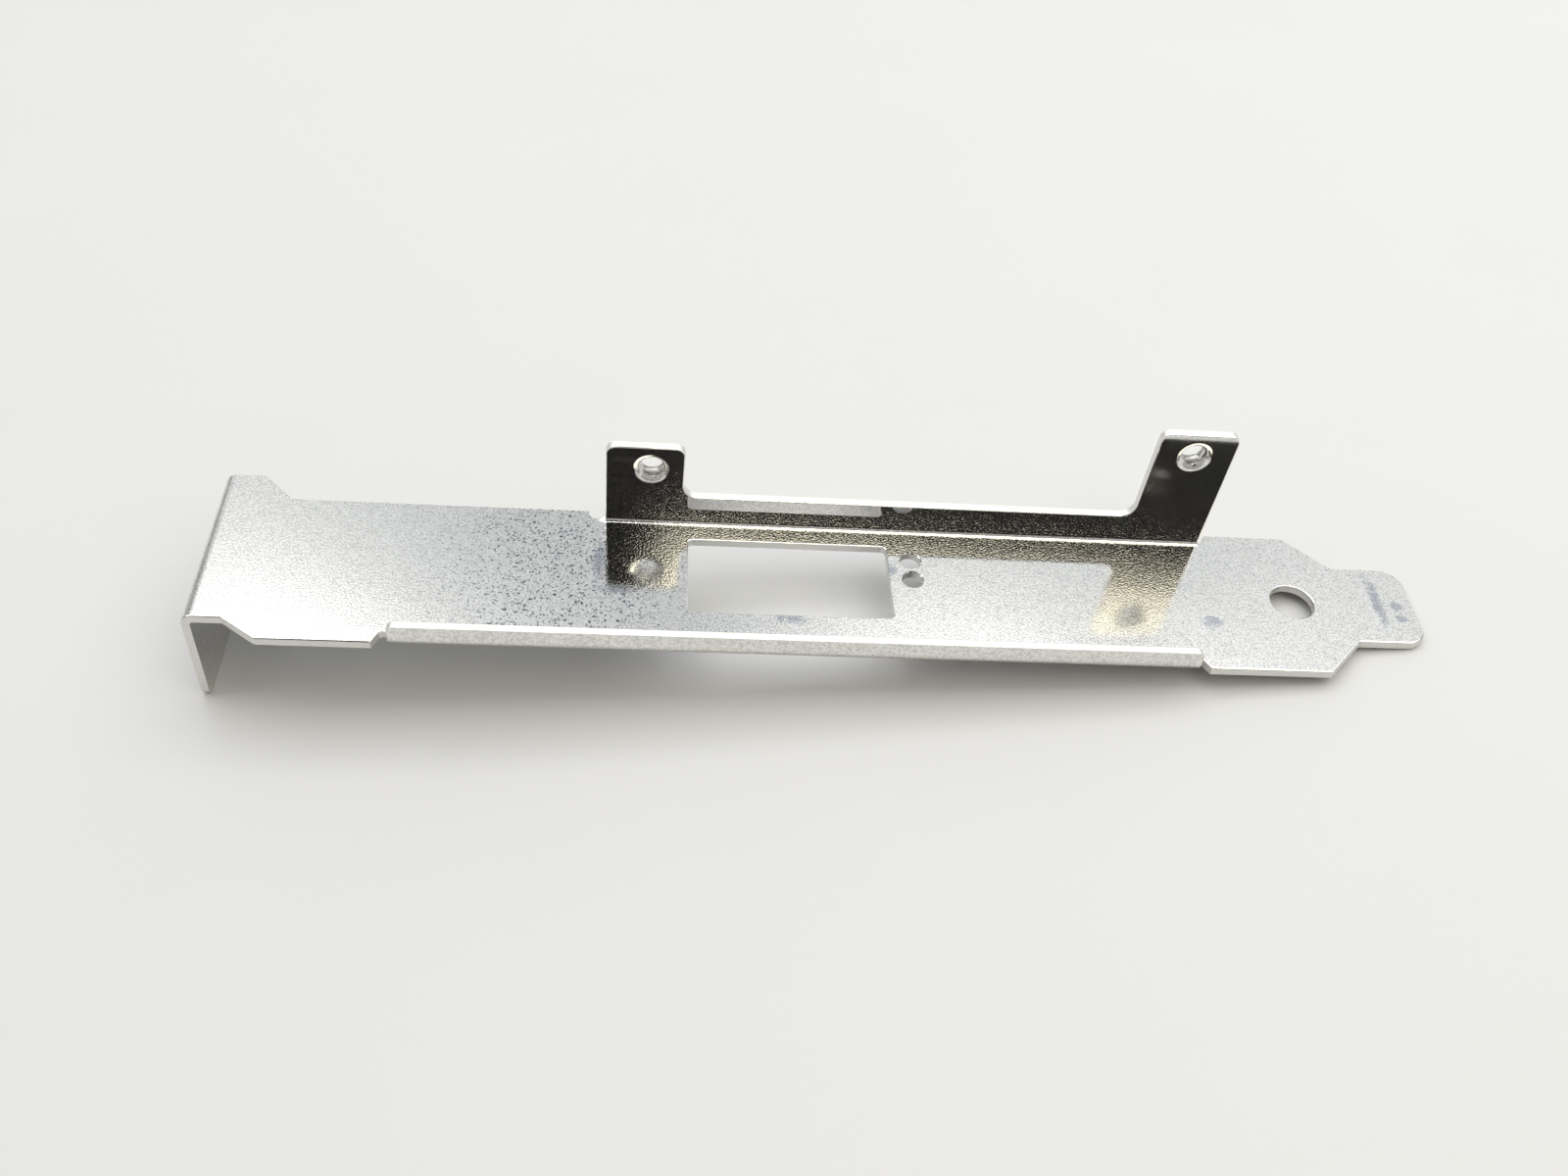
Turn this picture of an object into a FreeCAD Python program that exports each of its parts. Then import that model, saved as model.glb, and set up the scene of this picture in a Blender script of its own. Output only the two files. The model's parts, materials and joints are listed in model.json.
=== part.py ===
"""Slot cover bracket for a plug-in card: one folded steel sheet. Millimetres.

The sheet is drawn flat first.  X runs from the screw tab to the tongue, Y from
the edge with the stiffening lip to the edge with the card ears, and Z = 0 is
the face that meets the chassis.  The tab folds towards -Z; the lip, the ears
and the strip between them fold towards +Z.  At the end the part is laid down
as it comes to rest, on the free edge of its tab and the end of its tongue.
"""
import FreeCAD, Part
import math
import os

V = FreeCAD.Vector

# sheet
T = 0.86                      # thickness
BEND_IN = 0.35                # inside radius of every fold
BEND_OUT = BEND_IN + T        # outside radius of every fold
ROLL = 0.2                    # sheared outline rolled over on the card side
HOLE_ROLL = 0.12              # the same at the window and the plate hole
LED_CHAMFER = 0.1

# outline
LENGTH = 120.02               # tab outer face to tongue end
WIDTH = 18.42                 # full width of the plate
TAB_Y0 = 2.41                 # tab, lip side
TAB_Y1 = 21.59                # tab, ear side
TAB_DROP = 11.43              # card face of the plate to the tab's free edge
TAB_CORNER = 1.0
STEP_X0 = 3.75                # where the tab width ends, lip side
STEP_X1 = 7.1                 # where the full width begins, both sides
STEP_BACK = TAB_Y1 - WIDTH    # the ear side steps out at 45 degrees
STEP_R = 0.8
STEP_CORNER = 0.3
TONGUE_LEN = 7.27
TONGUE_W = 10.19
TONGUE_X = LENGTH - TONGUE_LEN
TONGUE_Y0 = (WIDTH - TONGUE_W) / 2
TONGUE_Y1 = TONGUE_Y0 + TONGUE_W
TONGUE_TIP_R = 2.2
TONGUE_ROOT_R = 1.2
SHOULDER_X = TONGUE_X - TONGUE_Y0     # 45 degree shoulders
SHOULDER_R = 0.5

# screw slot in the tab, open to the ear side
SLOT_W = 4.42
SLOT_IN = 3.17                # centre of its round end, from the open side
SLOT_UP = 5.08                # centre line, from the tab's free edge

# stiffening lip
LIP_X0 = 18.9
LIP_X1 = TONGUE_X - 17.55
LIP_SET = 0.1                 # outer face, in from the plate's edge
LIP_H = 2.8                   # from the chassis face
LIP_CORNER = 0.65

# card ears and the strip that joins them
EAR_SET = 0.5                 # outer face, in from the plate's edge
EAR_A_X, EAR_A_W, EAR_A_H = 37.8, 7.6, 10.65      # start, width, height from the chassis face
EAR_B_END, EAR_B_W, EAR_B_H = TONGUE_X - 13.65, 7.85, 15.4
EAR_A = (EAR_A_X, EAR_A_X + EAR_A_W, EAR_A_H)
EAR_B = (EAR_B_END - EAR_B_W, EAR_B_END, EAR_B_H)
EAR_CORNER = 0.95
STRIP_H = 4.4
STRIP_FILLET = 1.5

# extruded, tapped collars in the ears
HOLE_A = (EAR_A[1] - 3.2, EAR_A_H - 2.7)      # x, height from the chassis face
HOLE_B = (EAR_B[1] - 3.95, EAR_B_H - 2.75)
TAP_D = 2.26                  # core of the thread
COLLAR_D = 3.5
COLLAR_OUT = 0.9              # past the ear's outer face
COLLAR_END_CHAMFER = 0.2
COLLAR_ROOT = 0.3             # sloped root where the collar leaves the ear
MOUTH_R = 0.75                # drawn-in edge on the card face

# relief notches: width at the edge, width at the bottom
LIP_RELIEF_A = (1.5, 0.9)
LIP_RELIEF_B = (1.2, 0.45)
EAR_RELIEF_A = (1.65, 1.5)
EAR_RELIEF_B = (1.05, 0.9)
EAR_RELIEF_DEPTH = 1.07
EAR_RELIEF_R = 0.7
RELIEF_R = 0.35
RELIEF_B_R = 0.2

# openings in the plate
PORT_X, PORT_Y = 56.03, WIDTH / 2 + 0.76
PORT_L, PORT_H, PORT_R = 19.9, 9.7, 0.5
LED_X, LED_Y = PORT_X + PORT_L / 2 + 2.35, PORT_Y + 1.75
LED_PITCH, LED_D = 2.6, 2.1
PANEL_HOLE_X, PANEL_HOLE_Y, PANEL_HOLE_D = TONGUE_X - 5.6, WIDTH / 2, 4.5

LIP_BEND_Y = LIP_SET + BEND_OUT
EAR_FACE_Y = WIDTH - EAR_SET - T          # card face of the ears
EAR_BEND_Y = WIDTH - EAR_SET - BEND_OUT

PAST = 1.0                    # how far cutting shapes run past the sheet
SAME = 1e-3                   # two places closer than this are one


def rounded_wire(points, place):
    """Closed wire through (a, b, corner radius) points; place puts a, b in space."""
    corners = []
    n = len(points)
    for i in range(n):
        a, b, r = points[i]
        here = V(a, b, 0)
        if r <= 0:
            corners.append((here, None, here))
            continue
        back = (V(*points[i - 1][:2], 0) - here).normalize()
        on = (V(*points[(i + 1) % n][:2], 0) - here).normalize()
        half = back.getAngle(on) / 2
        run = r / math.tan(half)
        inward = (back + on).normalize()
        middle = here + inward * (r / math.sin(half) - r)
        corners.append((here + back * run, middle, here + on * run))
    edges = []
    for i, (start, middle, end) in enumerate(corners):
        if middle is not None:
            edges.append(Part.Arc(place(start), place(middle), place(end)).toShape())
        following = corners[(i + 1) % n][0]
        if (following - end).Length > 1e-6:
            edges.append(Part.makeLine(place(end), place(following)))
    return Part.Wire(edges)


def prism(points, place, along):
    return Part.Face(rounded_wire(points, place)).extrude(along)


def plan_outline():
    """The folded part seen square to the plate, tab at X = 0."""
    a, b = LIP_RELIEF_A, LIP_RELIEF_B
    c, d = EAR_RELIEF_A, EAR_RELIEF_B
    notch_y = WIDTH - EAR_RELIEF_DEPTH
    return [
        (0, TAB_Y0, 0),
        (STEP_X0, TAB_Y0, STEP_CORNER),
        (STEP_X1, 0, STEP_R),
        (LIP_X0 - a[0], 0, 0),
        (LIP_X0 - a[1], LIP_BEND_Y, RELIEF_R),
        (LIP_X0, LIP_BEND_Y, 0),
        (LIP_X1, LIP_BEND_Y, 0),
        (LIP_X1 + b[1], LIP_BEND_Y, RELIEF_B_R),
        (LIP_X1 + b[0], 0, 0),
        (SHOULDER_X, 0, SHOULDER_R),
        (TONGUE_X, TONGUE_Y0, SHOULDER_R),
        (LENGTH, TONGUE_Y0, TONGUE_TIP_R),
        (LENGTH, TONGUE_Y1, TONGUE_TIP_R),
        (TONGUE_X, TONGUE_Y1, TONGUE_ROOT_R),
        (SHOULDER_X, WIDTH, SHOULDER_R),
        (EAR_B[1] + d[0], WIDTH, 0),
        (EAR_B[1] + d[1], notch_y, RELIEF_R),
        (EAR_B[1], notch_y, 0),
        (EAR_B[1], EAR_BEND_Y, 0),
        (EAR_A[0], EAR_BEND_Y, 0),
        (EAR_A[0], notch_y, 0),
        (EAR_A[0] - c[1], notch_y, EAR_RELIEF_R),
        (EAR_A[0] - c[0], WIDTH, 0),
        (STEP_X1, WIDTH, STEP_R),
        (STEP_X1 - STEP_BACK, TAB_Y1, STEP_CORNER),
        (0, TAB_Y1, 0),
    ]


def tab_outline():
    """The tab seen along X: its corners and the open screw slot."""
    foot = T - TAB_DROP
    low = foot + SLOT_UP - SLOT_W / 2
    inner = TAB_Y1 - SLOT_IN - SLOT_W / 2
    return [
        (TAB_Y0, foot, TAB_CORNER),
        (TAB_Y1, foot, TAB_CORNER),
        (TAB_Y1, low, 0),
        (inner, low, SLOT_W / 2),
        (inner, low + SLOT_W, SLOT_W / 2),
        (TAB_Y1, low + SLOT_W, 0),
        (TAB_Y1, T + PAST, 0),
        (TAB_Y0, T + PAST, 0),
    ]


def ear_outline():
    """Ears and strip seen along Y, down to the middle of the sheet."""
    ax0, ax1, ah = EAR_A
    bx0, bx1, bh = EAR_B
    return [
        (ax0, 0, 0), (bx1, 0, 0),
        (bx1, bh, EAR_CORNER), (bx0, bh, EAR_CORNER),
        (bx0, STRIP_H, STRIP_FILLET), (ax1, STRIP_H, STRIP_FILLET),
        (ax1, ah, EAR_CORNER), (ax0, ah, EAR_CORNER),
    ]


def plate_with_tab():
    """Flat plate and folded tab, cut to the plan and to the tab's own outline."""
    low, high = T - TAB_DROP - PAST, T + PAST
    across = TAB_Y1 + 2 * PAST
    side = [(LENGTH + PAST, T, 0), (0, T, BEND_OUT), (0, low, 0),
            (T, low, 0), (T, 0, BEND_IN), (LENGTH + PAST, 0, 0)]
    sheet = prism(side, lambda p: V(p.x, -PAST, p.y), V(0, across, 0))
    plan = prism(plan_outline(), lambda p: V(p.x, p.y, low), V(0, 0, high - low))
    # the tab's outline holds past its bend, and ends short of the corner at STEP_X0
    tab = prism(tab_outline(), lambda p: V(-PAST, p.x, p.y), V(STEP_X0, 0, 0))
    plate = Part.makeBox(LENGTH + PAST, across, high - low, V(STEP_X0 - PAST, -PAST, low))
    return sheet.common(plan).common(tab.fuse(plate).removeSplitter())


def upturned(x0, x1, y_bend, towards, height):
    """A strip folded up from the plate at y_bend; towards is +1 or -1 along Y."""
    section = [(y_bend, 0, 0), (y_bend + towards * BEND_OUT, 0, BEND_OUT),
               (y_bend + towards * BEND_OUT, height, 0),
               (y_bend + towards * BEND_IN, height, 0),
               (y_bend + towards * BEND_IN, T, BEND_IN), (y_bend, T, 0)]
    return prism(section, lambda p: V(x0, p.x, p.y), V(x1 - x0, 0, 0))


def lip():
    strip = upturned(LIP_X0, LIP_X1, LIP_BEND_Y, -1, LIP_H)
    cut = [(LIP_X0, -PAST, 0), (LIP_X1, -PAST, 0), (LIP_X1, LIP_H, LIP_CORNER),
           (LIP_X0, LIP_H, LIP_CORNER)]
    return strip.common(prism(cut, lambda p: V(p.x, -PAST, p.y), V(0, LIP_BEND_Y + 2 * PAST, 0)))


def turned(points, x, z):
    """Turn a closed (radius, y) outline round the collar axis at x, z."""
    corners = [V(x + r, y, z) for r, y in points]
    wire = Part.makePolygon(corners + corners[:1])
    return Part.Face(wire).revolve(V(x, 0, z), V(0, 1, 0), 360)


def collar(x, z):
    """Material of one extruded collar, from the middle of the ear outwards."""
    outer = EAR_FACE_Y + T
    end = outer + COLLAR_OUT
    r = COLLAR_D / 2
    return turned([(0, outer - T / 2), (r + COLLAR_ROOT, outer - T / 2), (r + COLLAR_ROOT, outer),
                   (r, outer + COLLAR_ROOT), (r, end - COLLAR_END_CHAMFER),
                   (r - COLLAR_END_CHAMFER, end), (0, end)], x, z)


def ears():
    strip = upturned(EAR_A[0], EAR_B[1], EAR_BEND_Y, 1, EAR_B[2])
    body = strip.common(prism(ear_outline(), lambda p: V(p.x, EAR_BEND_Y - PAST, p.y),
                              V(0, BEND_OUT + 2 * PAST, 0)))
    for x, z in (HOLE_A, HOLE_B):
        body = body.fuse(collar(x, z))
        body = body.cut(Part.makeCylinder(TAP_D / 2, T + COLLAR_OUT + 2 * PAST,
                                          V(x, EAR_FACE_Y - PAST, z), V(0, 1, 0)))
        mouth = [e for e in body.Edges if e.Closed and abs(e.CenterOfMass.y - EAR_FACE_Y) < SAME
                 and abs(e.CenterOfMass.x - x) < SAME]
        body = body.makeFillet(MOUTH_R, mouth)
    return body


def rolled(body, radius, wanted):
    """Round the edges that wanted(edge) picks."""
    return body.makeFillet(radius, [e for e in body.Edges if wanted(e)])


def openings(body):
    x0, x1 = PORT_X - PORT_L / 2, PORT_X + PORT_L / 2
    y0, y1 = PORT_Y - PORT_H / 2, PORT_Y + PORT_H / 2
    port = [(x0, y0, PORT_R), (x1, y0, PORT_R), (x1, y1, PORT_R), (x0, y1, PORT_R)]
    through = T + 2 * PAST
    body = body.cut(prism(port, lambda p: V(p.x, p.y, -PAST), V(0, 0, through)))
    body = body.cut(Part.makeCylinder(PANEL_HOLE_D / 2, through,
                                      V(PANEL_HOLE_X, PANEL_HOLE_Y, -PAST)))

    def on_rim(e):
        c, b = e.CenterOfMass, e.BoundBox
        if b.ZMin < T - SAME:
            return False
        if x0 - SAME < b.XMin and b.XMax < x1 + SAME and y0 - SAME < b.YMin and b.YMax < y1 + SAME:
            return True
        return math.hypot(c.x - PANEL_HOLE_X, c.y - PANEL_HOLE_Y) < SAME
    body = rolled(body, HOLE_ROLL, on_rim)
    for y in (LED_Y - LED_PITCH / 2, LED_Y + LED_PITCH / 2):
        r = LED_D / 2
        body = body.cut(Part.makeCylinder(r, through, V(LED_X, y, -PAST)))
        body = body.cut(Part.makeCone(r, r + LED_CHAMFER, LED_CHAMFER, V(LED_X, y, T - LED_CHAMFER)))
    return body


def outline_roll(body):
    """The outline's card-side edge, from relief notch to relief notch and round the tab."""
    spans = (LIP_X0 - LIP_RELIEF_A[0], LIP_X1 + LIP_RELIEF_B[0],
             EAR_A[0] - EAR_RELIEF_A[0], EAR_B[1] + EAR_RELIEF_B[0])

    def wanted(e):
        b = e.BoundBox
        if b.ZMin < T - SAME:                        # not on the card face
            return False
        if b.YMax < WIDTH / 2:
            return b.XMax < spans[0] + SAME or b.XMin > spans[1] - SAME
        return b.XMax < spans[2] + SAME or b.XMin > spans[3] - SAME
    return rolled(body, ROLL, wanted)


def lay_down(body):
    """Turn the sheet until the tab's edge and the tongue's end touch the ground."""
    drop = TAB_DROP - T
    angle = math.degrees(math.atan2(drop, LENGTH - T))
    body.rotate(V(0, 0, 0), V(0, 1, 0), angle)
    b = body.optimalBoundingBox(False)
    body.translate(V(-(b.XMin + b.XMax) / 2, -(b.YMin + b.YMax) / 2, -b.ZMin))
    return body, angle


def slot_bracket():
    """The whole bracket in the sheet's own frame, as one solid."""
    body = outline_roll(openings(plate_with_tab()))
    return body.fuse(lip()).fuse(ears()).removeSplitter().Solids[0]


if __name__ == "__main__":
    os.makedirs("parts", exist_ok=True)
    solid, angle = lay_down(slot_bracket())
    solid.exportStep("parts/slot_bracket.step")
    b = solid.optimalBoundingBox(False)
    print("slot_bracket", solid.isValid(), round(solid.Volume, 2), "mm3, box",
          [round(v, 3) for v in (b.XMin, b.XMax, b.YMin, b.YMax, b.ZMin, b.ZMax)],
          "laid down by", round(angle, 3), "degrees")
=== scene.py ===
"""Slot cover bracket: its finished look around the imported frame.

The sheet's own frame is used throughout: X runs from the screw tab to the
tongue, Y from the edge with the stiffening lip to the edge with the card ears,
and Z = 0 is the face that meets the chassis.  Its origin and its tilt come
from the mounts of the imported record.
"""
import json
import math

import bmesh
import bpy
from bpy.props import FloatProperty, FloatVectorProperty, IntProperty, PointerProperty
from mathutils import Matrix, Vector


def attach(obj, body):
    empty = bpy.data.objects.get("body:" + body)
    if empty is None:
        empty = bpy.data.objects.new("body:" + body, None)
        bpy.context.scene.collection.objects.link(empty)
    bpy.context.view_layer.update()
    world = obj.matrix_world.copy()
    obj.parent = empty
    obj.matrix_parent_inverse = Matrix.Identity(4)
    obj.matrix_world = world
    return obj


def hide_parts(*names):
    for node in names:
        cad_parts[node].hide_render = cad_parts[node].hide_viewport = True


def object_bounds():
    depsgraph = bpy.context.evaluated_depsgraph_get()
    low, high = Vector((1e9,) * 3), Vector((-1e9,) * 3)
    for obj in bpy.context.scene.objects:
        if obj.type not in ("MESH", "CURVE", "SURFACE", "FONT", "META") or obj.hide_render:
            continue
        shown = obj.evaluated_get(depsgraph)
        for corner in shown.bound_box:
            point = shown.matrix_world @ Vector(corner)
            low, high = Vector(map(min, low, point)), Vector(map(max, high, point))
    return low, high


bl_info = {
    "name": "Slot Cover Bracket",
    "version": (1, 0, 0),
    "blender": (4, 5, 0),
    "location": "3D View > Sidebar > Bracket",
    "description": "Finishes a folded and plated slot cover bracket and sets up its stage",
    "category": "Object",
}

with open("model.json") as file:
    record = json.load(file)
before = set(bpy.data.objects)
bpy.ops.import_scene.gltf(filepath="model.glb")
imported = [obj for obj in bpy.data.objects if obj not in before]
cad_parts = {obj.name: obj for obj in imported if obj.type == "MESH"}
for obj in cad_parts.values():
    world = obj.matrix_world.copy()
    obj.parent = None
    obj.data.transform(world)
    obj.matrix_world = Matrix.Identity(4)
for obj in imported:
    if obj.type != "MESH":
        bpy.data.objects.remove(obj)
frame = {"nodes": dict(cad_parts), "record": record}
CAD_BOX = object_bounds()
MM = 0.001
WELD = 0.002 * MM             # corners of triangles closer than this are one corner
FACING = 0.5                  # share of a normal along an axis, for a face that looks that way
SHARP = math.radians(60)      # a sheared corner turns by more than this
LEVEL = 0.005                 # places this close in height, in millimetres, are level
IN_LINE = 0.01                # places this close along the sheet, in millimetres, are in line
SHEET_NODE = "slot_bracket"
SHEET_NAME = "folded_sheet"
MOUNTS = {mount["name"]: mount for mount in frame["record"]["mounts"]}


def mount_place(name):
    return Vector(MOUNTS[name]["pos_m"])


def read_sheet_frame():
    """Thickness, and the matrix from the sheet's millimetres to the row frame."""
    along = Vector(MOUNTS["tongue"]["axis"]).normalized()
    across = Vector((0, 1, 0))
    up = along.cross(across)
    middle = mount_place("port_window")
    thickness = 2 * (middle - mount_place("chassis_face")).dot(up)
    length = (mount_place("tongue") - mount_place("tab_screw_slot")).dot(along) + thickness / 2
    origin = mount_place("tongue") - along * length - up * thickness / 2
    origin.y = CAD_BOX[0].y
    turn = Matrix((along, across, up)).transposed().to_4x4()
    return thickness / MM, Matrix.Translation(origin) @ turn @ Matrix.Scale(MM, 4)


THICKNESS, SHEET = read_sheet_frame()
TO_SHEET = SHEET.inverted()
TURN = SHEET.to_quaternion()


def sheet_place(name):
    """A mount's place in the sheet's millimetres."""
    return TO_SHEET @ mount_place(name)


MIDDLE_Y = sheet_place("tongue").y


# ---------------------------------------------------------------- settings

class BRACKET_PG_sheet(bpy.types.PropertyGroup):
    roll: FloatProperty(
        name="Shear roll", description="Rounding of the sheared outline on the card side",
        default=0.12 * MM, min=0.0, unit="LENGTH", subtype="DISTANCE")
    curl: FloatProperty(
        name="Curl", description="Length of the metal dragged up beside the fold of the ears",
        default=0.85 * MM, unit="LENGTH", subtype="DISTANCE")
    burr: FloatProperty(
        name="Burr rounding", description="Rounding of the sheared outline on the chassis side",
        default=0.03 * MM, min=0.0, unit="LENGTH", subtype="DISTANCE")


class BRACKET_PG_thread(bpy.types.PropertyGroup):
    major: FloatProperty(
        name="Major diameter", description="Diameter at the bottom of the thread's grooves",
        default=2.84 * MM, unit="LENGTH", subtype="DISTANCE")
    pitch: FloatProperty(
        name="Pitch", description="Distance from one turn of the thread to the next",
        default=0.635 * MM, unit="LENGTH", subtype="DISTANCE")
    steps: IntProperty(
        name="Steps", description="Faces in one turn of the thread", default=48, min=12)


class BRACKET_PG_finish(bpy.types.PropertyGroup):
    plating: FloatVectorProperty(
        name="Plating", description="Colour of the bright plating",
        subtype="COLOR", size=3, default=(0.78, 0.77, 0.745), min=0.0, max=1.0)
    grain: FloatProperty(
        name="Grain", description="Size of one grain of the plating's texture",
        default=0.21 * MM, unit="LENGTH", subtype="DISTANCE")
    roughness: FloatProperty(
        name="Roughness", description="Roughness of the plated faces",
        default=0.048, min=0.0, max=1.0, subtype="FACTOR")
    cut_roughness: FloatProperty(
        name="Cut roughness", description="Roughness of the sheared faces",
        default=0.42, min=0.0, max=1.0, subtype="FACTOR")


class BRACKET_PG_stage(bpy.types.PropertyGroup):
    floor: FloatVectorProperty(
        name="Floor", description="Colour of the floor",
        subtype="COLOR", size=3, default=(0.6, 0.6, 0.6), min=0.0, max=1.0)
    camera_place: FloatVectorProperty(
        name="Camera place", description="Where the camera stands",
        subtype="TRANSLATION", unit="LENGTH", size=3,
        default=(-9.0 * MM, -96.9 * MM, 107.0 * MM))
    camera_turn: FloatVectorProperty(
        name="Camera turn", description="The camera's rotation",
        subtype="EULER", unit="ROTATION", size=3,
        default=(math.radians(43.36), math.radians(-0.51), math.radians(-2.44)))
    lens: FloatProperty(
        name="Lens", description="Focal length for a sensor 36 mm wide",
        default=32.62, min=1.0, unit="CAMERA")


# ---------------------------------------------------------------- modelling

def deselect_all():
    if bpy.context.object and bpy.context.object.mode != "OBJECT":
        bpy.ops.object.mode_set(mode="OBJECT")
    bpy.ops.object.select_all(action="DESELECT")


def make_active(piece):
    deselect_all()
    piece.select_set(True)
    bpy.context.view_layer.objects.active = piece


def in_edit_mode(piece, *steps):
    """Run operators on the piece in edit mode, one after the other."""
    make_active(piece)
    bpy.ops.object.mode_set(mode="EDIT")
    for step in steps:
        step()
    bpy.ops.object.mode_set(mode="OBJECT")


def apply_modifier(piece, kind, **settings):
    make_active(piece)
    modifier = piece.modifiers.new(kind.title(), kind)
    for name, value in settings.items():
        setattr(modifier, name, value)
    bpy.ops.object.modifier_apply(modifier=modifier.name)


def merged_copy(node, name):
    """A piece with the node's shape, its loose triangles merged."""
    piece = bpy.data.objects.new(name, frame["nodes"][node].data.copy())
    bpy.context.scene.collection.objects.link(piece)
    make_active(piece)
    bpy.ops.mesh.customdata_custom_splitnormals_clear()
    in_edit_mode(
        piece,
        lambda: bpy.ops.mesh.select_all(action="SELECT"),
        lambda: bpy.ops.mesh.remove_doubles(threshold=WELD))
    return piece


def mark_sheared(piece):
    """Give material slot 1 to each face with much more metal behind it than the sheet is thick."""
    skin = 0.01 * MM
    much = 1.5 * THICKNESS * MM
    bpy.context.view_layer.update()
    for face in piece.data.polygons:
        inwards = -face.normal
        start = face.center + inwards * skin
        _, end, _, _ = piece.ray_cast(start, inwards)
        face.material_index = int((end - start).length > much)


def on_card_side(face):
    """Whether a face of the sheet looks to the side where the card is."""
    place = TO_SHEET @ face.calc_center_median()
    normal = TURN.inverted() @ face.normal
    to_middle = normal.y * math.copysign(1, MIDDLE_Y - place.y)
    plate = normal.z > FACING
    tab = place.z < 0 and normal.x < -FACING
    ear_or_lip = place.z > THICKNESS and to_middle > FACING
    return plate or tab or ear_or_lip


def sheared_corner(card_side):
    """A test for the convex edges between a plated face, on the side asked for, and a sheared face."""
    def wanted(edge):
        if len(edge.link_faces) != 2 or not edge.is_convex:
            return False
        plated, sheared = sorted(edge.link_faces, key=lambda face: face.material_index)
        return (plated.material_index == 0 and sheared.material_index == 1
                and edge.calc_face_angle() > SHARP and on_card_side(plated) == card_side)
    return wanted


def pick_edges(piece, wanted):
    """In edit mode, select only the edges for which wanted(edge) is true."""
    bpy.ops.mesh.select_mode(type="EDGE")
    bpy.ops.mesh.select_all(action="DESELECT")
    shape = bmesh.from_edit_mesh(piece.data)
    for edge in shape.edges:
        if wanted(edge):
            edge.select_set(True)
    bmesh.update_edit_mesh(piece.data)


def pick_faces(piece, wanted):
    """In edit mode, select only the faces whose middle and normal, in the sheet's frame, pass wanted."""
    bpy.ops.mesh.select_mode(type="FACE")
    bpy.ops.mesh.select_all(action="DESELECT")
    shape = bmesh.from_edit_mesh(piece.data)
    for face in shape.faces:
        face.select_set(wanted(TO_SHEET @ face.calc_center_median(), TURN.inverted() @ face.normal))
    bmesh.update_edit_mesh(piece.data)


def pick_corners(piece, wanted):
    """In edit mode, select only the vertices whose place in the sheet's frame passes wanted."""
    bpy.ops.mesh.select_mode(type="VERT")
    bpy.ops.mesh.select_all(action="DESELECT")
    shape = bmesh.from_edit_mesh(piece.data)
    for corner in shape.verts:
        corner.select_set(wanted(TO_SHEET @ corner.co))
    bmesh.update_edit_mesh(piece.data)


def cut_across(point, normal):
    """In edit mode, cut the selected faces along a plane given in the sheet's frame."""
    bpy.ops.mesh.bisect(plane_co=SHEET @ Vector(point), plane_no=TURN @ Vector(normal))


def ear_notch(piece):
    """The first ear's side, and where its fold begins in the relief notch beside it."""
    notch_reach = 8.3         # from the plate's middle to past the start of the ears' folds
    ear_foot = 4 * THICKNESS  # only the ears and the strip between them stand higher than this
    places = [TO_SHEET @ corner.co for corner in piece.data.vertices]
    side_x = min(place.x for place in places if place.z > ear_foot and place.y > MIDDLE_Y)
    fold_y = max(place.y for place in places
                 if abs(place.x - side_x) < IN_LINE and abs(place.z - THICKNESS) < LEVEL
                 and place.y < MIDDLE_Y + notch_reach)
    return side_x, fold_y


def curl_bend_end(piece, length, height, steps=3):
    """Raise the metal that the fold has dragged up in the relief notch before the first ear."""
    side_x, fold_y = ear_notch(piece)
    inner_y = fold_y - length * 0.65

    def card_face(place, normal):
        return normal.z > 0.99 and abs(place.z - THICKNESS) < LEVEL

    def beside_ear(place, normal):
        return card_face(place, normal) and place.y > inner_y and place.x < side_x

    in_edit_mode(
        piece,
        lambda: pick_faces(piece, card_face),
        lambda: cut_across((0, inner_y, 0), (0, 1, 0)))
    for step in range(steps):
        x = side_x - length * (step + 1) / steps
        in_edit_mode(
            piece,
            lambda: pick_faces(piece, beside_ear),
            lambda: cut_across((x, 0, 0), (1, 0, 0)))
    for step in range(steps):
        x = side_x - length * (step + 0.5) / steps

        def on_curl(place):
            return (x < place.x < side_x + IN_LINE and abs(place.y - fold_y) < 0.02
                    and THICKNESS - 0.01 < place.z < THICKNESS + height)

        in_edit_mode(
            piece,
            lambda: pick_corners(piece, on_curl),
            lambda: bpy.ops.transform.translate(value=TURN @ Vector((0, 0, height / steps * MM))))


def round_edges(piece, wanted, radius, segments):
    in_edit_mode(
        piece,
        lambda: pick_edges(piece, wanted),
        lambda: bpy.ops.mesh.bevel(offset=radius, segments=segments, clamp_overlap=False))


def collar_ends(piece):
    """The centre of the free end of each tapped collar."""
    pattern = MOUNTS["card_screws"]
    middle, reach = mount_place("card_screws"), pattern["dims"]["pcd_mm"] / 2 * MM
    around = 1.5 * pattern["dims"]["hole_r_mm"] * MM
    ends = []
    for side in (-1, 1):
        axis = middle + Vector((side * reach, 0, 0))
        near = [v.co for v in piece.data.vertices
                if v.co.y > middle.y and math.hypot(v.co.x - axis.x, v.co.z - axis.z) < around]
        ends.append(sum(near, Vector()) / len(near))
    return ends


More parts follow.
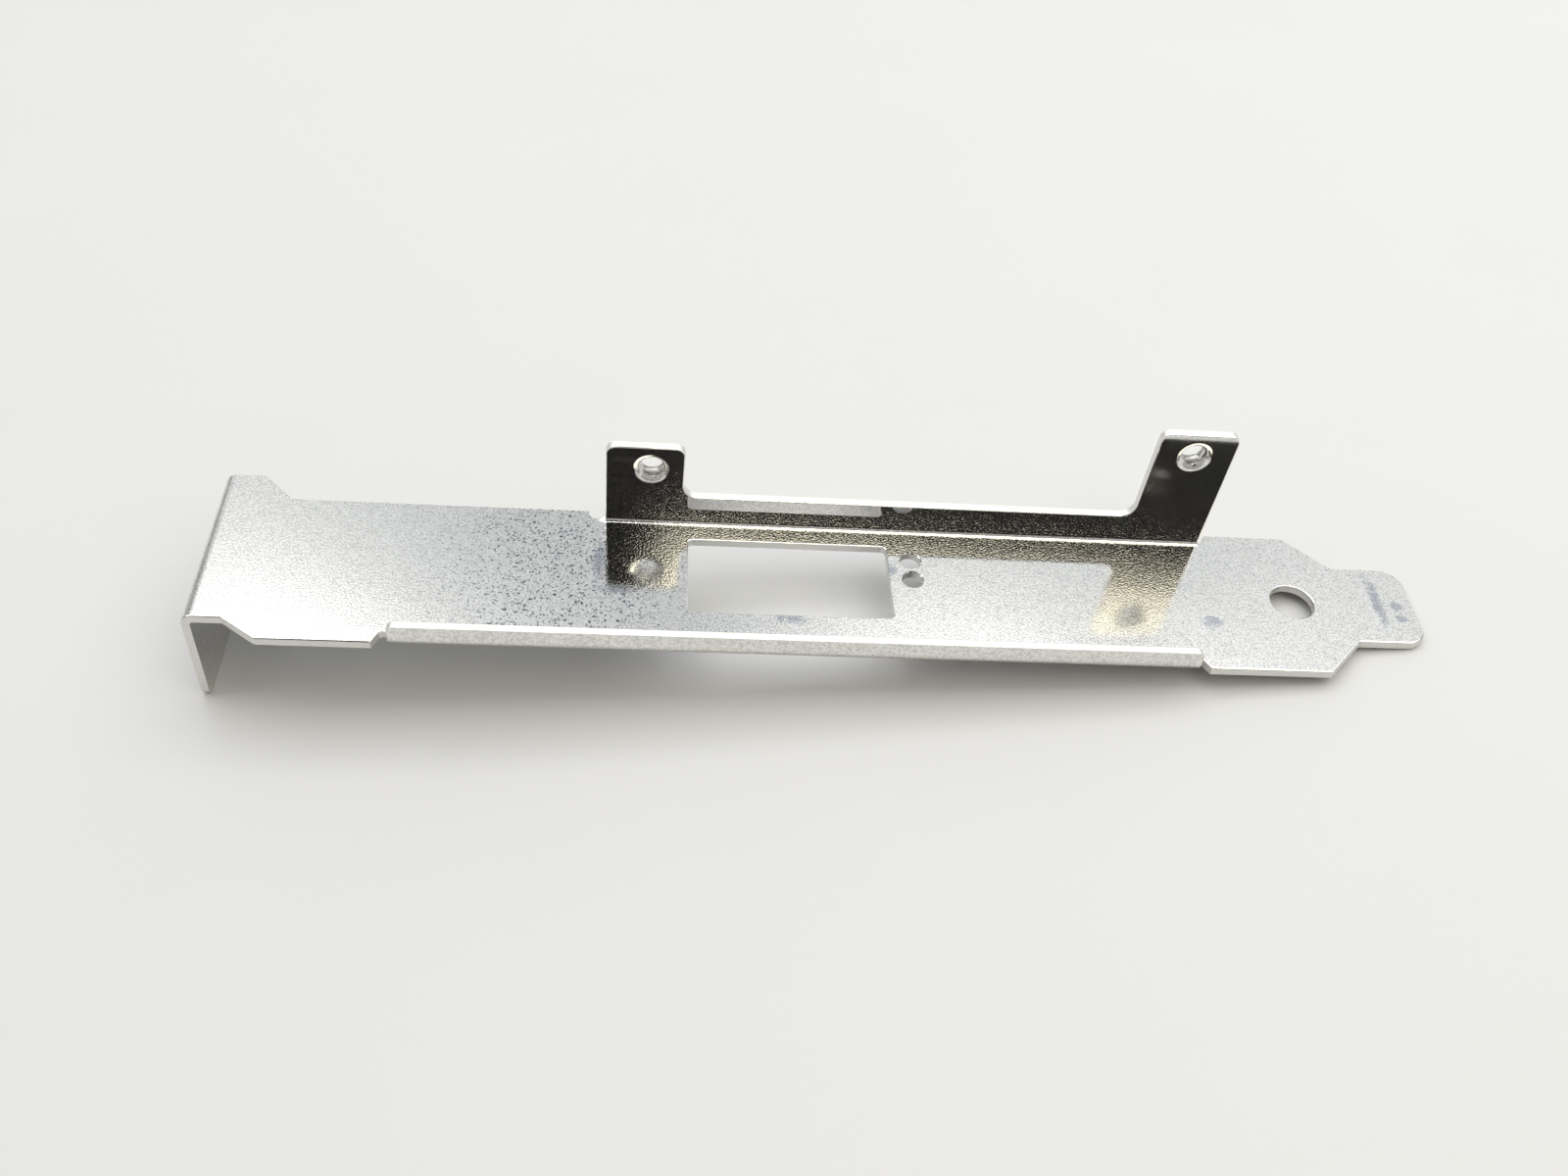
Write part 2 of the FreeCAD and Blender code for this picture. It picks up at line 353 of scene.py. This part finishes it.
def thread_cutter(settings, end, length):
    """A helical ridge with the section of a tap's tooth, along the collar that ends at end."""
    tooth = settings.pitch * 0.55      # from the middle of the tooth's triangle to its tip
    bpy.ops.mesh.primitive_circle_add(
        vertices=3, radius=tooth, fill_type="NOTHING",
        location=(settings.major / 2 - tooth, 0, 0), rotation=(math.radians(90), math.radians(90), 0))
    cutter = bpy.context.object
    bpy.ops.object.transform_apply(location=True, rotation=True)
    turns = math.ceil(length / settings.pitch) + 1
    apply_modifier(cutter, "SCREW", screw_offset=settings.pitch, iterations=turns,
                   steps=settings.steps, render_steps=settings.steps)
    in_edit_mode(
        cutter,
        lambda: bpy.ops.mesh.select_all(action="SELECT"),
        lambda: bpy.ops.mesh.fill_holes(sides=3),
        lambda: bpy.ops.mesh.normals_make_consistent(inside=False))
    cutter.location = end - Vector((0, length, 0))
    cutter.rotation_euler = (math.radians(-90), 0, 0)
    return cutter


# ---------------------------------------------------------------- shader maths

class Value:
    """A shader socket that takes part in Python expressions."""

    def __init__(self, graph, socket):
        self.graph, self.socket = graph, socket

    def math(self, operation, *others, clamp=False):
        inputs = dict(enumerate((self, *others)))
        return self.graph.add("ShaderNodeMath", {"operation": operation, "use_clamp": clamp}, inputs)

    def __add__(self, other):
        return self.math("ADD", other)

    def __radd__(self, other):
        return self + other

    def __sub__(self, other):
        return self.math("SUBTRACT", other)

    def __rsub__(self, other):
        return self * -1 + other

    def __mul__(self, other):
        return self.math("MULTIPLY", other)

    def __rmul__(self, other):
        return self * other

    def between(self, low, high):
        """0 below low, 1 above high and a smooth step from one to the other."""
        return self.graph.add("ShaderNodeMapRange", {"interpolation_type": "SMOOTHSTEP"},
                              {"Value": self, "From Min": low, "From Max": high})


def shade(colour, share):
    """The colour at a share of its brightness."""
    return tuple(channel * share for channel in colour)


class Graph:
    """The node tree of a material or of the room."""

    def __init__(self, owner):
        owner.use_nodes = True
        self.owner = owner
        self.nodes, self.links = owner.node_tree.nodes, owner.node_tree.links
        self.shader = self.nodes.get("Principled BSDF") or self.nodes["Background"]

    def add(self, kind, settings, inputs, output=0):
        node = self.nodes.new(kind)
        for name, value in settings.items():
            setattr(node, name, value)
        self.connect(node, inputs)
        return Value(self, node.outputs[output])

    def connect(self, node, inputs):
        for name, value in inputs.items():
            if isinstance(value, Value):
                self.links.new(value.socket, node.inputs[name])
            else:
                node.inputs[name].default_value = value

    def sheet_coordinates(self):
        """Object coordinates turned into the sheet's millimetres."""
        place = self.add("ShaderNodeTexCoord", {}, {}, output="Object")
        origin, turn, scale = SHEET.decompose()
        return self.add("ShaderNodeMapping", {"vector_type": "TEXTURE"},
                        {"Vector": place, "Location": origin, "Rotation": turn.to_euler(),
                         "Scale": scale})

    def split(self, place):
        """The three coordinates of a place, as values."""
        node = self.nodes.new("ShaderNodeSeparateXYZ")
        self.connect(node, {"Vector": place})
        return [Value(self, socket) for socket in node.outputs]

    def noise(self, place, scale, detail=2.0, roughness=0.5):
        return self.add("ShaderNodeTexNoise", {}, {"Vector": place, "Scale": scale, "Detail": detail,
                                                   "Roughness": roughness})

    def glow(self, way, towards, inner, outer):
        """1 within inner degrees of a direction, fading to 0 at outer degrees."""
        along = self.add("ShaderNodeVectorMath", {"operation": "DOT_PRODUCT"},
                         {0: way, 1: towards}, output="Value")
        return along.between(math.cos(math.radians(outer)), math.cos(math.radians(inner)))

    def mix(self, share, one, other):
        """One colour where share is 0 and the other where it is 1."""
        one, other = (c if isinstance(c, Value) else (*c, 1.0) for c in (one, other))
        return self.add("ShaderNodeMix", {"data_type": "RGBA"}, {0: share, 6: one, 7: other}, output=2)


# The plating's zones, in the sheet's millimetres: each begins at the first value and is full at the second.
ABOVE_FLAT = (THICKNESS + 0.1, THICKNESS + 0.5)
PAST_LIP_FOLD = (0.9, 1.4)
CROWD_BEGINS, CROWD_THINS = (14, 32), (38, 50)
HAZE_BEGINS, HAZE_ENDS, HAZE_SIDE = (83, 89), (96, 100), (8.5, 11)
DARK_GLINT_TINT = (0.12, 0.14, 0.19)          # of the plating's colour, in a painted dark glint
# The colour of the painted reflection patches, a bluish dark
PAINTED_REFLECTION_COLOUR = (0.2, 0.22, 0.29)


def reflection_patches():
    """Patches of painted bluish reflection, where the plate is also rougher: middle and half extents in the
    sheet's millimetres.
    """
    port, tip = sheet_place("port_window"), sheet_place("tongue")
    return (
        (port.x - 18.6, 11.2, 0.8, 3.2),
        (port.x - 16.8, 7.7, 1.9, 0.7),
        (port.x - 1.1, 4.8, 0.5, 0.8),
        (port.x + 0.3, 4.6, 1.2, 0.8),
        (port.x + 10.2, 11.5, 0.7, 1.1),
        (port.x + 41.9, 6.2, 1.3, 1.1),
        (tip.x - 3.8, 9.6, 0.75, 4.6),
        (tip.x - 1.9, 9.1, 0.8, 0.8),
        (tip.x - 1.9, 7.4, 0.7, 0.7),
    )


def reflection_patch_share(along, across, cloud, grain):
    """How much of the painted reflection patches lies on a place; cloud and grain fray their outline."""
    reflection_patch = 0
    for x, y, half_x, half_y in reflection_patches():
        off_x = (along - x) * (1 / half_x)
        off_y = (across - y) * (1 / half_y)
        reflection_patch = reflection_patch + 1 - (off_x * off_x + off_y * off_y + cloud * 1.4 + grain * 1.6).between(1.4, 2.6)
    return reflection_patch


def dark_glint_share(along, cloud, speck):
    """How much of a place gets painted dark glints, dark specks in the colour: most between the tab and the
    port, where the specks crowd.
    """
    crowd = along.between(*CROWD_BEGINS) * (1 - along.between(*CROWD_THINS) * 0.75)
    return (1 - (speck + cloud * 0.15 - crowd * 0.06).between(0.39, 0.45)) * (crowd * 0.8 + 0.2)


def haze_share(along, across):
    """How dull a place is before the shoulders, on the lip's side of the plate."""
    return (along.between(*HAZE_BEGINS) * (1 - along.between(*HAZE_ENDS))
            * (1 - across.between(*HAZE_SIDE)))


def plated_steel(finish):
    """Bright plating on rolled steel: a wrinkled grain, dark specks painted in as dark glints, bluish
    patches of painted reflection that are also rougher, and smoother folds.
    """
    graph = Graph(bpy.data.materials.new("plated_steel"))
    place = graph.sheet_coordinates()
    along, across, up = graph.split(place)
    grain = graph.noise(place, MM / finish.grain, detail=2.0)
    speck = graph.noise(place, 0.8 * MM / finish.grain, detail=3.0, roughness=0.6)
    shine = graph.noise(place, 0.35, detail=3.0)
    cloud = graph.noise(place, 1.6, detail=3.0)
    flat = (1 - up.between(*ABOVE_FLAT)) * across.between(*PAST_LIP_FOLD)
    # Painted dark glints: dark specks painted into the base colour where the grain would glint dark.
    dark_glints = dark_glint_share(along, cloud, speck) * flat
    # Painted reflection: bluish dark patches painted into the base colour, which are also rougher.
    reflection_patch = reflection_patch_share(along, across, cloud, grain) * flat
    haze = haze_share(along, across) * flat
    mottle = (cloud * 0.2 + grain * 0.8).between(0.38, 0.6)
    bright = graph.mix(mottle, shade(finish.plating, 0.8), shade(finish.plating, 1.1))
    dark_glint_colour = [share * part for share, part in zip(finish.plating, DARK_GLINT_TINT)]
    with_dark_glints = graph.mix(dark_glints, bright, dark_glint_colour)
    wrinkle = (flat * 0.94 + 0.06) * grain
    bump = graph.add("ShaderNodeBump", {},
                     {"Height": wrinkle, "Distance": 0.0075 * MM, "Strength": 1.0},
                     output="Normal")
    graph.connect(graph.shader, {
        # The base colour carries the painted dark glints and the painted bluish reflection patches.
        "Base Color": graph.mix(reflection_patch * 0.6, with_dark_glints, PAINTED_REFLECTION_COLOUR),
        "Metallic": 1.0,
        "Roughness": shine * 0.05 + (finish.roughness - 0.025) + reflection_patch * 0.1 + haze * 0.07,
        "Normal": bump,
    })
    return graph.owner


def sheared_edge(finish):
    """The cut through the sheet's thickness: dull and unevenly torn, under the plating."""
    graph = Graph(bpy.data.materials.new("sheared_edge"))
    place = graph.sheet_coordinates()
    tear = graph.noise(place, 2.5, detail=3.0)
    bump = graph.add("ShaderNodeBump", {}, {"Height": tear, "Distance": 0.03 * MM, "Strength": 1.0},
                     output="Normal")
    graph.connect(graph.shader, {
        "Base Color": graph.mix(tear, shade(finish.plating, 0.92), finish.plating),
        "Metallic": 1.0,
        "Roughness": tear * 0.15 + finish.cut_roughness,
        "Normal": bump,
    })
    return graph.owner


def cut_thread(finish):
    """The flanks that the tap leaves, bright and finely torn."""
    graph = Graph(bpy.data.materials.new("cut_thread"))
    place = graph.sheet_coordinates()
    tear = graph.noise(place, 5.0, detail=2.0)
    graph.connect(graph.shader, {
        "Base Color": graph.mix(tear, shade(finish.plating, 0.8), finish.plating),
        "Metallic": 1.0,
        "Roughness": tear * 0.1 + finish.roughness + 0.05,
    })
    return graph.owner


# ---------------------------------------------------------------- operators

class BRACKET_OT_sheet(bpy.types.Operator):
    """Make the folded sheet, with its sheared outline rounded"""
    bl_idname = "bracket.sheet"
    bl_label = "Make Folded Sheet"

    def execute(self, context):
        settings = context.scene.bracket_sheet
        piece = merged_copy(SHEET_NODE, SHEET_NAME)
        piece.data.materials.clear()
        for finish in (plated_steel, sheared_edge, cut_thread):
            piece.data.materials.append(finish(context.scene.bracket_finish))
        mark_sheared(piece)
        in_edit_mode(
            piece,
            lambda: bpy.ops.mesh.select_all(action="SELECT"),
            lambda: bpy.ops.mesh.dissolve_limited(angle_limit=math.radians(0.5), delimit={"MATERIAL"}))
        curl_bend_end(piece, settings.curl / MM, settings.curl / MM * 0.4)
        round_edges(piece, sheared_corner(card_side=True), settings.roll, 3)
        round_edges(piece, sheared_corner(card_side=False), settings.burr, 1)
        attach(piece, "root")
        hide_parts(SHEET_NODE)
        return {"FINISHED"}


class BRACKET_OT_thread(bpy.types.Operator):
    """Cut the screw thread in both collars"""
    bl_idname = "bracket.thread"
    bl_label = "Cut Threads"

    def execute(self, context):
        piece = bpy.data.objects[SHEET_NAME]
        face_y = mount_place("card_face").y
        for end in collar_ends(piece):
            cutter = thread_cutter(context.scene.bracket_thread, end, end.y - face_y)
            cutter.data.materials.append(piece.data.materials["cut_thread"])
            apply_modifier(piece, "BOOLEAN", operation="DIFFERENCE", object=cutter, solver="EXACT")
            bpy.data.objects.remove(cutter)
        return {"FINISHED"}


class BRACKET_OT_shade(bpy.types.Operator):
    """Shade the folds smooth, and keep the flat faces flat"""
    bl_idname = "bracket.shade"
    bl_label = "Shade Sheet"

    def execute(self, context):
        piece = bpy.data.objects[SHEET_NAME]
        make_active(piece)
        bpy.ops.object.shade_smooth_by_angle(angle=math.radians(30))
        apply_modifier(piece, "WEIGHTED_NORMAL", keep_sharp=True, weight=100)
        return {"FINISHED"}


def area_light(name, place, aim, size, radiance, colour=(1, 1, 1)):
    """A soft rectangular light at a place, facing aim; places and sizes in metres."""
    data = bpy.data.lights.new(name, "AREA")
    data.shape = "RECTANGLE"
    data.size, data.size_y = size
    data.energy = radiance * math.pi * size[0] * size[1]
    data.color = colour
    light = bpy.data.objects.new(name, data)
    light.location = place
    light.rotation_euler = (Vector(place) - Vector(aim)).to_track_quat("Z", "Y").to_euler()
    bpy.context.scene.collection.objects.link(light)
    return light


def polar(azimuth, elevation, distance):
    """Azimuth 0 is behind the bracket, 90 past its tongue and 180 before it."""
    a, e = math.radians(azimuth), math.radians(elevation)
    return Vector((math.sin(a) * math.cos(e), math.cos(a) * math.cos(e), math.sin(e))) * distance


# The room's glows: azimuth and elevation, full within one angle and gone past the next, radiance.
GLOWS = (
    (-28, 55, 6, 20, 0.47),
    (-21, 57, 5, 12, 1.7),
    (0, 53, 3, 8, 0.12),
    (25, 52, 5, 11, 0.57),
    (37, 51, 8, 12, 0.2),
    (42, 42, 3, 8, 0.22),
    (40, 37, 14, 22, 0.15),
    (-125, 50, 8, 30, 0.5),
)
ROOM_COLOUR = (1.0, 0.99, 0.96)
WARM, COOL = (1.0, 0.96, 0.8), (0.93, 0.97, 1.0)
FLOOR_SIZE = 6.0


def make_floor(colour):
    """A matt paper floor under the bracket."""
    bpy.ops.mesh.primitive_plane_add(size=FLOOR_SIZE, location=(0, 0, CAD_BOX[0].z))
    floor = bpy.context.object
    floor.name = "floor"
    graph = Graph(bpy.data.materials.new("floor"))
    place = graph.add("ShaderNodeTexCoord", {}, {}, output="Object")
    paper = graph.noise(place, 40.0, detail=4.0)
    graph.connect(graph.shader, {"Base Color": graph.mix(paper, shade(colour, 0.97), colour),
                                 "Roughness": paper * 0.1 + 0.8})
    floor.data.materials.append(graph.owner)
    return floor


def room_world():
    """A lit room, darker overhead, with soft glows that the plating mirrors."""
    room = Graph(bpy.data.worlds.new("room"))
    way = room.add("ShaderNodeTexCoord", {}, {}, output="Generated")
    _, _, height = room.split(way)
    light = 0.5 - height.between(0.42, 0.54) * 0.47
    for azimuth, elevation, inner, outer, radiance in GLOWS:
        light = light + room.glow(way, polar(azimuth, elevation, 1), inner, outer) * radiance
    room.connect(room.shader, {"Color": (*ROOM_COLOUR, 1.0), "Strength": light})
    return room.owner


def make_camera(stage):
    data = bpy.data.cameras.new("camera")
    data.lens = stage.lens
    data.clip_start = 0.005
    camera = bpy.data.objects.new("camera", data)
    camera.location = stage.camera_place
    camera.rotation_euler = stage.camera_turn
    bpy.context.scene.collection.objects.link(camera)
    return camera


class BRACKET_OT_stage(bpy.types.Operator):
    """Set up the floor, the lights and the camera"""
    bl_idname = "bracket.stage"
    bl_label = "Set Up Stage"

    def execute(self, context):
        stage = context.scene.bracket_stage
        deselect_all()
        floor = make_floor(stage.floor)
        area_light("ceiling_bank", (0, 0.16, 0.6), (0, 0.16, 0), (1.8, 0.52), 2.3)
        area_light("warm_ceiling", (0.478, -0.342, 0.6), (0.478, -0.342, 0), (0.858, 0.48), 2.4, WARM)
        area_light("far_wall", polar(10, 34, 0.8), (0, 0, 0), (1.6, 0.6), 0.72, COOL)
        context.scene.world = room_world()
        context.scene.camera = make_camera(stage)
        context.scene.view_settings.view_transform = "Standard"
        return {"FINISHED"}


class BRACKET_PT_panel(bpy.types.Panel):
    """The bracket's steps and settings"""
    bl_idname = "BRACKET_PT_panel"
    bl_label = "Slot Cover Bracket"
    bl_space_type = "VIEW_3D"
    bl_region_type = "UI"
    bl_category = "Bracket"

    def draw(self, context):
        layout = self.layout
        for operator in OPERATORS:
            layout.operator(operator.bl_idname)
        for name in SETTINGS:
            settings = getattr(context.scene, name)
            for key in settings.__annotations__:
                layout.prop(settings, key)


SETTINGS = {
    "bracket_sheet": BRACKET_PG_sheet,
    "bracket_thread": BRACKET_PG_thread,
    "bracket_finish": BRACKET_PG_finish,
    "bracket_stage": BRACKET_PG_stage,
}
OPERATORS = (BRACKET_OT_sheet, BRACKET_OT_thread, BRACKET_OT_shade, BRACKET_OT_stage)
CLASSES = (*SETTINGS.values(), *OPERATORS, BRACKET_PT_panel)


def register():
    for cls in CLASSES:
        bpy.utils.register_class(cls)
    for name, group in SETTINGS.items():
        setattr(bpy.types.Scene, name, PointerProperty(type=group))


def unregister():
    for name in SETTINGS:
        delattr(bpy.types.Scene, name)
    for cls in reversed(CLASSES):
        bpy.utils.unregister_class(cls)


def main():
    register()
    bpy.ops.bracket.sheet()
    bpy.ops.bracket.thread()
    bpy.ops.bracket.shade()
    bpy.ops.bracket.stage()


if __name__ == "__main__":
    main()
